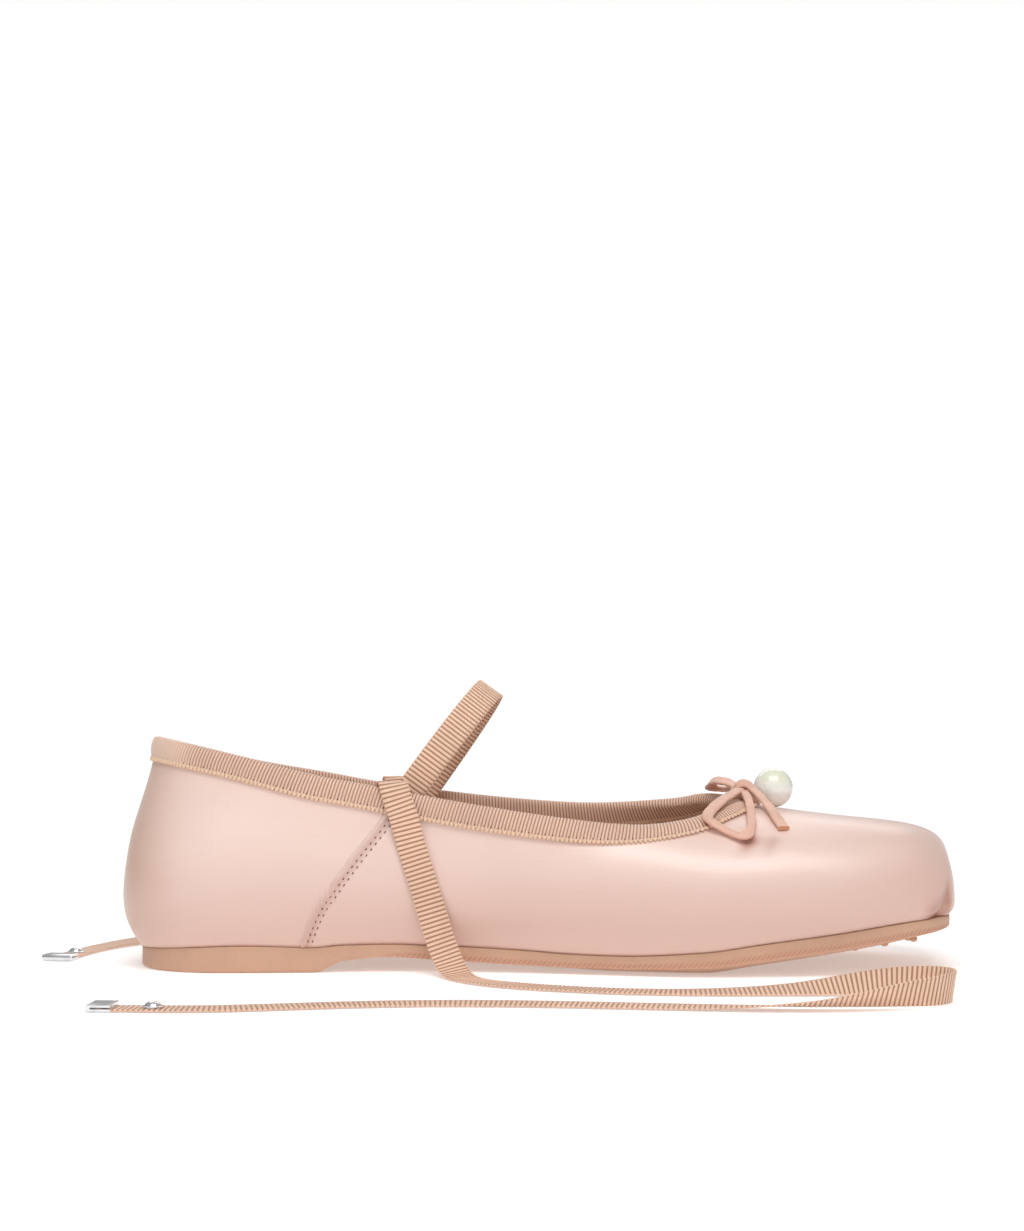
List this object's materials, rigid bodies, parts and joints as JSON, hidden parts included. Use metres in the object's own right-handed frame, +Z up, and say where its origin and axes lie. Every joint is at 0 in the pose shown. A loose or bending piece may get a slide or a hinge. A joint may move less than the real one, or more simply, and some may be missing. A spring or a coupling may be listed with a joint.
{
  "type": "ballet flat",
  "caption": "Ballet flat with a squared toe, ribbon-bound collar, instep strap, loose ankle ties, and a lace bow with a bead on the vamp.",
  "frame": {"origin": "centre of the shoe's own box, without its ankle ties, on the plane that its sole stands on", "axes": "+X from heel to toe, +Y towards the inner side of the foot, +Z up"},
  "size_m": [0.2739, 0.2013, 0.0847],
  "materials": {
    "satin": "soft satin sheen",
    "lining": "matt smooth",
    "binding": "ribbed grosgrain",
    "strap": "ribbed grosgrain",
    "tie": "ribbed grosgrain",
    "lace": "soft matt cord",
    "outsole": "matt moulded",
    "pearl": "pearly gloss",
    "metal": "polished"
  },
  "bodies": {
    "root": {"upper": "satin", "insole": "lining", "collar_binding": "binding", "outsole": "outsole", "instep_strap": "strap", "ankle_tie_near": "tie", "ankle_tie_far": "tie", "tie_tip_near": "metal", "tie_tip_far": "metal", "tie_stud_near": "metal", "tie_stud_far": "metal", "pearl": "pearl", "bow_knot": "lace", "bow_loop_near": "lace", "bow_loop_far": "lace", "bow_tail_near": "lace", "bow_tail_far": "lace"}
  },
  "joints": []
}
